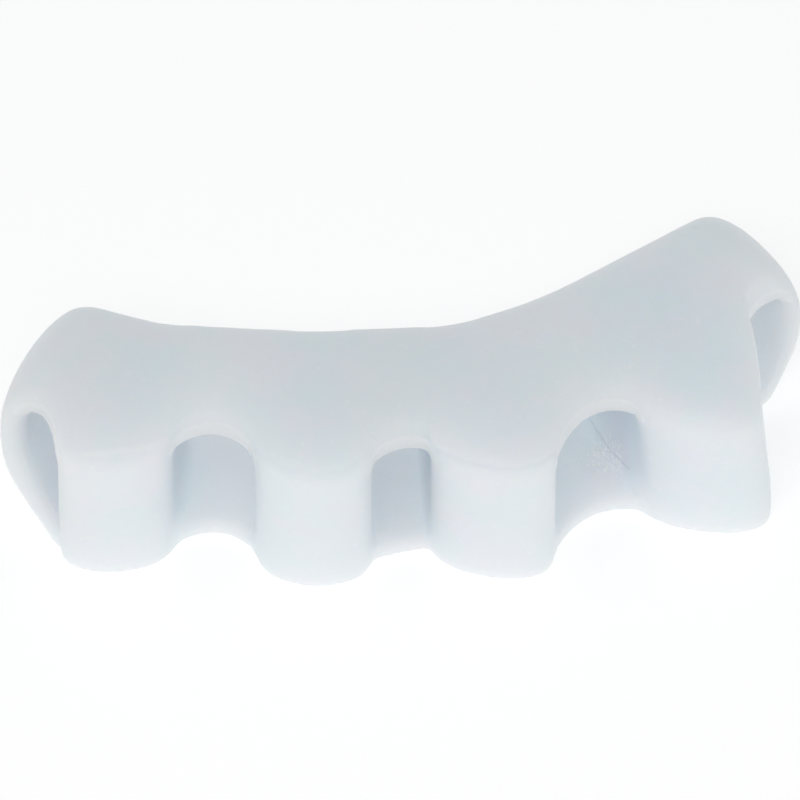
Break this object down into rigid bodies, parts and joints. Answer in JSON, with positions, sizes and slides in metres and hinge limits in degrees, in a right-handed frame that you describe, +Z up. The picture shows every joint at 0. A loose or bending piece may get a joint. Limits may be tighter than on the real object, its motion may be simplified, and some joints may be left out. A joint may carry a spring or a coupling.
{
  "type": "toe spreader",
  "caption": "Soft one-piece toe spreader with open toe wells between rounded posts, closed by a loop at each end under one broad band, lying on its sole.",
  "frame": {"origin": "centre of the bounding box's underside, on the surface that the spreader lies on", "axes": "+X across the toes from the big-toe loop to the little-toe loop, -Y towards the toe tips, +Z up from the sole to the band"},
  "size_m": [0.1112, 0.0548, 0.026],
  "materials": {
    "silicone": "satin"
  },
  "bodies": {
    "root": {"spreader_body": "silicone"}
  },
  "joints": []
}
